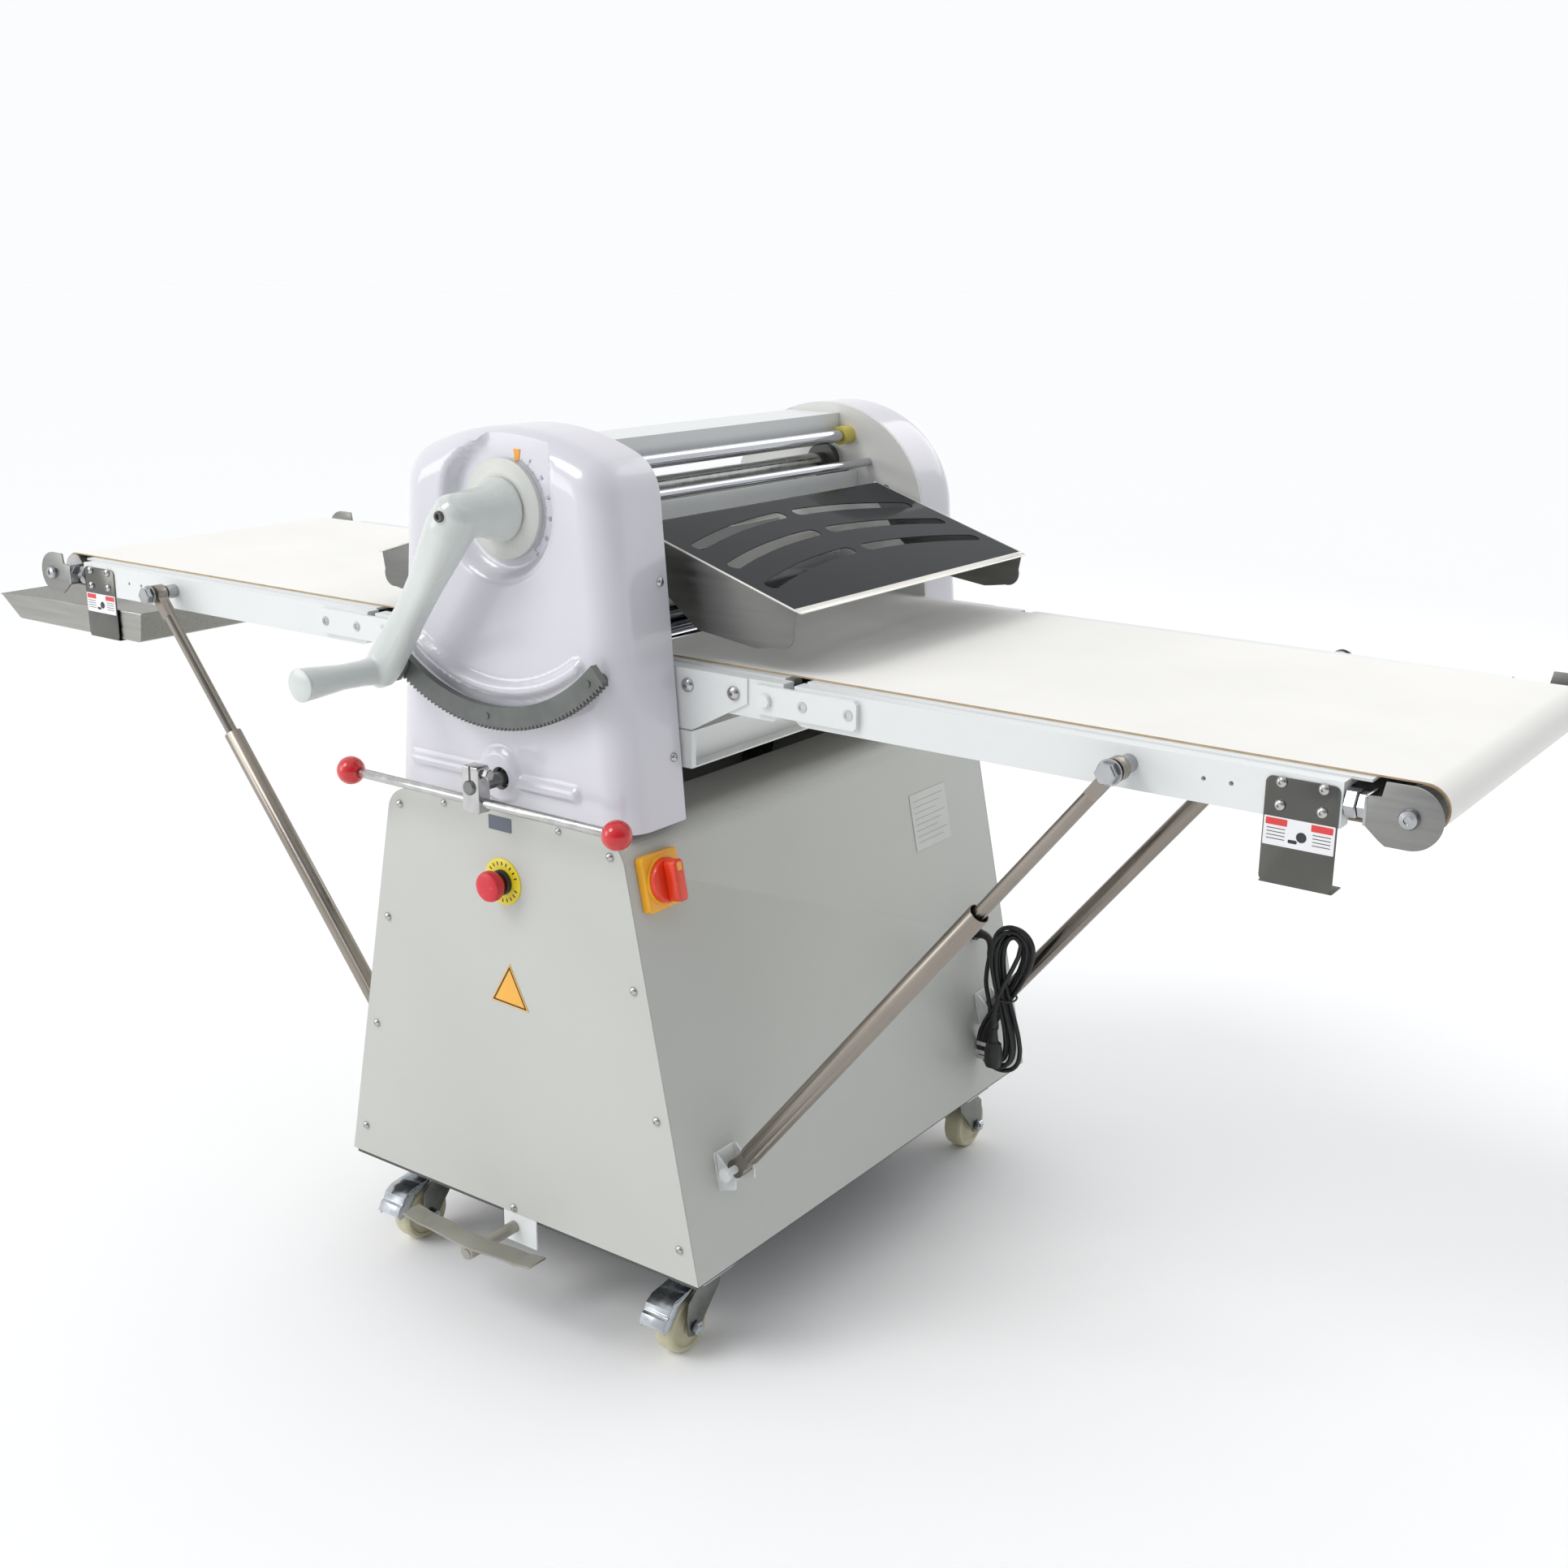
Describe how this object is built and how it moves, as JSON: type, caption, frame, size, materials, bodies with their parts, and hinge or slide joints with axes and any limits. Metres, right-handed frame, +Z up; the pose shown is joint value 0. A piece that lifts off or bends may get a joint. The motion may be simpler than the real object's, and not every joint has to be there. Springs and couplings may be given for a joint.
{
  "type": "dough sheeter",
  "caption": "Floor-standing reversible dough sheeter: tapered cabinet on castors, folding belt tables on struts, sheeting rollers with guards, gap lever on a toothed arc.",
  "frame": {"origin": "on the floor, below the middle between the two head plates and the two tables", "axes": "+X along the belts to the operator's right, -Y towards the operator, +Z up"},
  "size_m": [2.317, 0.9775, 1.14],
  "materials": {
    "white_paint": "satin powder coat",
    "white_shell": "gloss moulded shell",
    "pale_casting": "gloss enamel on a casting",
    "dark_steel": "semi-matt dark grey",
    "bright_steel": "polished",
    "chrome": "mirror",
    "brushed_steel": "brushed",
    "guard_steel": "dark mirror top, brushed cheeks",
    "belt": "smooth coated cotton belt",
    "yellow_plastic": "gloss",
    "red_plastic": "gloss",
    "black_plastic": "matt",
    "black_rubber": "satin",
    "cream_nylon": "satin",
    "zinc": "bright zinc plate"
  },
  "bodies": {
    "cabinet": {"cabinet_frame": "dark_steel", "end_panels": "white_paint", "side_covers": "white_paint", "cover_screws": "bright_steel", "head_plates": "white_paint", "front_head_cover": "white_shell", "rear_head_cover": "white_shell", "bed_rails": "white_paint", "bed_gussets": "white_paint", "bed_bolts": "bright_steel", "bed_belts": "belt", "top_cover": "white_paint", "tie_rods": "bright_steel", "shaft_bearings": "dark_steel", "toothed_quadrant": "dark_steel", "switch_plates": "yellow_plastic", "motor": "dark_steel", "mounting_brackets": "white_paint", "cord_gland": "black_plastic", "cord_lead": "black_rubber", "cord_hank": "black_rubber", "cord_plug": "black_rubber"},
    "table_right": {"table_right_frame": "white_paint", "table_right_belt": "belt", "table_right_fittings": "dark_steel"},
    "table_left": {"table_left_frame": "white_paint", "table_left_belt": "belt", "table_left_fittings": "dark_steel", "catch_pan": "brushed_steel"},
    "gap_lever": {"adjusting_shaft": "bright_steel", "gap_dial": "pale_casting", "gap_lever": "pale_casting"},
    "roller_carriage": {"roller_carriage": "dark_steel"},
    "direction_lever": {"direction_lever": "chrome", "direction_knobs": "red_plastic"},
    "drive_roller_right": {"drive_roller_right": "dark_steel"},
    "drive_roller_left": {"drive_roller_left": "dark_steel"},
    "lower_roller": {"lower_roller": "chrome"},
    "upper_roller": {"upper_roller": "chrome"},
    "foot_pedal": {"foot_pedal": "brushed_steel"},
    "estop_button": {"estop_button": "red_plastic"},
    "isolator_knob": {"isolator_knob": "red_plastic"},
    "guard_right": {"guard_right": "guard_steel"},
    "guard_left": {"guard_left": "guard_steel"},
    "end_roller_right": {"end_roller_right": "bright_steel"},
    "end_roller_left": {"end_roller_left": "bright_steel"},
    "strut_tube_right": {"strut_tube_right": "brushed_steel"},
    "strut_rod_right": {"strut_rod_right": "brushed_steel"},
    "strut_tube_left": {"strut_tube_left": "brushed_steel"},
    "strut_rod_left": {"strut_rod_left": "brushed_steel"},
    "castor_fork_fr": {"castor_fork_fr": "zinc"},
    "castor_wheel_fr": {"castor_wheel_fr": "cream_nylon"},
    "castor_fork_fl": {"castor_fork_fl": "zinc"},
    "castor_wheel_fl": {"castor_wheel_fl": "cream_nylon"},
    "castor_fork_rr": {"castor_fork_rr": "zinc"},
    "castor_wheel_rr": {"castor_wheel_rr": "cream_nylon"},
    "castor_fork_rl": {"castor_fork_rl": "zinc"},
    "castor_wheel_rl": {"castor_wheel_rl": "cream_nylon"},
    "castor_brake_fr": {"castor_brake_fr": "zinc"},
    "castor_brake_fl": {"castor_brake_fl": "zinc"}
  },
  "joints": [
    {"name": "right_table_fold", "type": "hinge", "parent": "cabinet", "child": "table_right", "pos_m": [0.318, 0, 0.845], "axis": [0, -1, 0], "range_deg": [0, 48]},
    {"name": "right_strut_swing", "type": "hinge", "parent": "cabinet", "child": "strut_tube_right", "pos_m": [0.3, 0, 0.26], "axis": [0, -1, 0], "range_deg": [0, 20]},
    {"name": "right_strut_slide", "type": "hinge", "parent": "table_right", "child": "strut_rod_right", "pos_m": [0.769, 0, 0.847], "axis": [0, -1, 0], "range_deg": [-29, 0]},
    {"name": "right_guard_lift", "type": "hinge", "parent": "cabinet", "child": "guard_right", "pos_m": [0.118, 0, 1.014], "axis": [0, -1, 0], "range_deg": [0, 60]},
    {"name": "right_drive_roller_spin", "type": "hinge", "parent": "cabinet", "child": "drive_roller_right", "pos_m": [0.096, 0, 0.845], "axis": [0, 1, 0], "continuous": true},
    {"name": "right_end_roller_spin", "type": "hinge", "parent": "table_right", "child": "end_roller_right", "pos_m": [1.057, 0, 0.845], "axis": [0, 1, 0], "continuous": true},
    {"name": "left_table_fold", "type": "hinge", "parent": "cabinet", "child": "table_left", "pos_m": [-0.318, 0, 0.845], "axis": [0, 1, 0], "range_deg": [0, 48]},
    {"name": "left_strut_swing", "type": "hinge", "parent": "cabinet", "child": "strut_tube_left", "pos_m": [-0.3, 0, 0.26], "axis": [0, 1, 0], "range_deg": [0, 20]},
    {"name": "left_strut_slide", "type": "hinge", "parent": "table_left", "child": "strut_rod_left", "pos_m": [-0.769, 0, 0.847], "axis": [0, 1, 0], "range_deg": [-29, 0]},
    {"name": "left_guard_lift", "type": "hinge", "parent": "cabinet", "child": "guard_left", "pos_m": [-0.118, 0, 1.014], "axis": [0, 1, 0], "range_deg": [0, 60]},
    {"name": "left_drive_roller_spin", "type": "hinge", "parent": "cabinet", "child": "drive_roller_left", "pos_m": [-0.096, 0, 0.845], "axis": [0, 1, 0], "continuous": true},
    {"name": "left_end_roller_spin", "type": "hinge", "parent": "table_left", "child": "end_roller_left", "pos_m": [-1.057, 0, 0.845], "axis": [0, 1, 0], "continuous": true},
    {"name": "gap_lever_swing", "type": "hinge", "parent": "cabinet", "child": "gap_lever", "pos_m": [0, 0, 1.046], "axis": [0, -1, 0], "range_deg": [0, 71]},
    {"name": "roller_lift", "type": "slide", "parent": "cabinet", "child": "roller_carriage", "axis": [0, 0, 1], "range_m": [0, 0.035]},
    {"name": "lower_roller_spin", "type": "hinge", "parent": "cabinet", "child": "lower_roller", "pos_m": [0, 0, 0.826], "axis": [0, 1, 0], "continuous": true},
    {"name": "upper_roller_spin", "type": "hinge", "parent": "roller_carriage", "child": "upper_roller", "pos_m": [0, 0, 0.911], "axis": [0, 1, 0], "continuous": true},
    {"name": "direction_lever_rock", "type": "hinge", "parent": "cabinet", "child": "direction_lever", "pos_m": [0, -0.44, 0.722], "axis": [0, 1, 0], "range_deg": [-15, 15]},
    {"name": "foot_pedal_rock", "type": "hinge", "parent": "cabinet", "child": "foot_pedal", "pos_m": [0, -0.45, 0.116], "axis": [0, 1, 0], "range_deg": [-15, 15]},
    {"name": "estop_press", "type": "slide", "parent": "cabinet", "child": "estop_button", "axis": [0, 1, 0], "range_m": [0, 0.005]},
    {"name": "isolator_turn", "type": "hinge", "parent": "cabinet", "child": "isolator_knob", "pos_m": [0.20425, -0.352, 0.622], "axis": [0.9791, 0, 0.2034], "range_deg": [0, 90]},
    {"name": "castor_swivel_fr", "type": "hinge", "parent": "cabinet", "child": "castor_fork_fr", "pos_m": [0.235, -0.321, 0.1], "axis": [0, 0, 1], "continuous": true},
    {"name": "castor_roll_fr", "type": "hinge", "parent": "castor_fork_fr", "child": "castor_wheel_fr", "pos_m": [0.235, -0.349, 0.038], "axis": [1, 0, 0], "continuous": true},
    {"name": "castor_brake_press_fr", "type": "hinge", "parent": "castor_fork_fr", "child": "castor_brake_fr", "pos_m": [0.235, -0.347, 0.091], "axis": [1, 0, 0], "range_deg": [0, 12]},
    {"name": "castor_swivel_fl", "type": "hinge", "parent": "cabinet", "child": "castor_fork_fl", "pos_m": [-0.235, -0.321, 0.1], "axis": [0, 0, 1], "continuous": true},
    {"name": "castor_roll_fl", "type": "hinge", "parent": "castor_fork_fl", "child": "castor_wheel_fl", "pos_m": [-0.235, -0.349, 0.038], "axis": [1, 0, 0], "continuous": true},
    {"name": "castor_brake_press_fl", "type": "hinge", "parent": "castor_fork_fl", "child": "castor_brake_fl", "pos_m": [-0.235, -0.347, 0.091], "axis": [1, 0, 0], "range_deg": [0, 12]},
    {"name": "castor_swivel_rr", "type": "hinge", "parent": "cabinet", "child": "castor_fork_rr", "pos_m": [0.235, 0.321, 0.1], "axis": [0, 0, 1], "continuous": true},
    {"name": "castor_roll_rr", "type": "hinge", "parent": "castor_fork_rr", "child": "castor_wheel_rr", "pos_m": [0.235, 0.349, 0.038], "axis": [1, 0, 0], "continuous": true},
    {"name": "castor_swivel_rl", "type": "hinge", "parent": "cabinet", "child": "castor_fork_rl", "pos_m": [-0.235, 0.321, 0.1], "axis": [0, 0, 1], "continuous": true},
    {"name": "castor_roll_rl", "type": "hinge", "parent": "castor_fork_rl", "child": "castor_wheel_rl", "pos_m": [-0.235, 0.349, 0.038], "axis": [1, 0, 0], "continuous": true}
  ],
  "couplings": [
    {"joint": "right_strut_swing", "follows": "right_table_fold", "ratio": 0.404},
    {"joint": "right_strut_slide", "follows": "right_table_fold", "ratio": -0.596},
    {"joint": "left_strut_swing", "follows": "left_table_fold", "ratio": 0.404},
    {"joint": "left_strut_slide", "follows": "left_table_fold", "ratio": -0.596},
    {"joint": "roller_lift", "follows": "gap_lever_swing", "m_per_rad": 0.02744},
    {"joint": "upper_roller_spin", "follows": "lower_roller_spin", "ratio": -1},
    {"joint": "right_drive_roller_spin", "follows": "lower_roller_spin", "ratio": 1},
    {"joint": "left_drive_roller_spin", "follows": "lower_roller_spin", "ratio": 1},
    {"joint": "right_end_roller_spin", "follows": "lower_roller_spin", "ratio": 1},
    {"joint": "left_end_roller_spin", "follows": "lower_roller_spin", "ratio": 1},
    {"joint": "foot_pedal_rock", "follows": "direction_lever_rock", "ratio": 1}
  ]
}
